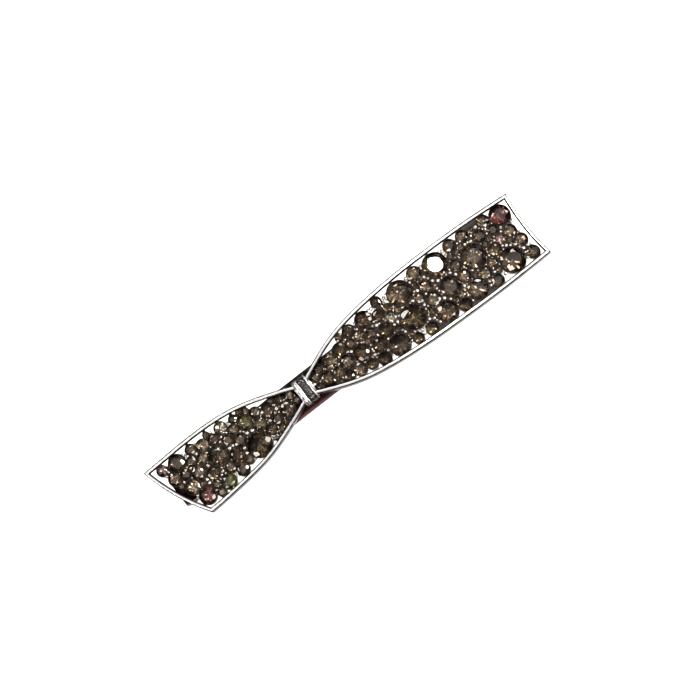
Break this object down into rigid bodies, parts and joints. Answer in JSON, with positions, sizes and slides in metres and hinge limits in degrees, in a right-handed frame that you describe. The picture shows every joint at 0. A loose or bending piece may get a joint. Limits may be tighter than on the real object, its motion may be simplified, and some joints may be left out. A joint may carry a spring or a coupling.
{
  "type": "hair barrette",
  "caption": "Bow-shaped hair barrette: a cast metal frame set with smoky round stones, on an arched snap clasp with a hinged arm, tension bar and squeeze catch.",
  "frame": {"origin": "centre of the whole clip's footprint, on the surface that its clasp side rests on", "axes": "+X along the clasp from the hinge to the catch, towards the long lobe; +Y across it; +Z away from the hair"},
  "size_m": [0.0822, 0.0144, 0.0124],
  "materials": {
    "cast_metal": "polished rhodium plate over a white metal casting",
    "silver_wire": "bright plated wire",
    "solder": "dull tin solder",
    "plated_steel": "bright nickel plate on pressed steel strip",
    "spring_steel": "satin nickel-plated spring steel",
    "smoky_crystal": "foil-backed smoky cut crystal"
  },
  "bodies": {
    "clip": {"back_plate": "plated_steel", "bow_frame": "cast_metal", "catch_base": "spring_steel", "catch_rivet": "plated_steel", "hinge_pin": "plated_steel", "knot_band": "cast_metal", "knot_wire": "silver_wire", "solder_pads": "solder", "stones_ss10_long": "smoky_crystal", "stones_ss10_short": "smoky_crystal", "stones_ss12_long": "smoky_crystal", "stones_ss12_short": "smoky_crystal", "stones_ss16_long": "smoky_crystal", "stones_ss16_short": "smoky_crystal", "stones_ss20_long": "smoky_crystal", "stones_ss20_short": "smoky_crystal", "stones_ss2_long": "smoky_crystal", "stones_ss2_short": "smoky_crystal", "stones_ss4_long": "smoky_crystal", "stones_ss4_short": "smoky_crystal", "stones_ss6_long": "smoky_crystal", "stones_ss6_short": "smoky_crystal", "stones_ss8_long": "smoky_crystal", "stones_ss8_short": "smoky_crystal", "tension_bar": "spring_steel"},
    "arm": {"clasp_arm": "plated_steel"},
    "leg_rear": {"catch_leg_rear": "spring_steel"},
    "leg_front": {"catch_leg_front": "spring_steel"}
  },
  "joints": [
    {"name": "clasp_swing", "type": "hinge", "parent": "arm", "child": "clip", "pos_m": [-0.0369, 0, 0.00195], "axis": [0, -1, 0], "range_deg": [0, 60]},
    {"name": "leg_rear_squeeze", "type": "hinge", "parent": "clip", "child": "leg_rear", "pos_m": [0.0344, 0.00145, 0.0027], "axis": [-1, 0, 0], "range_deg": [0, 8], "stiffness_Nm_per_rad": 0.05},
    {"name": "leg_front_squeeze", "type": "hinge", "parent": "clip", "child": "leg_front", "pos_m": [0.0344, -0.00145, 0.0027], "axis": [1, 0, 0], "range_deg": [0, 8], "stiffness_Nm_per_rad": 0.05}
  ]
}
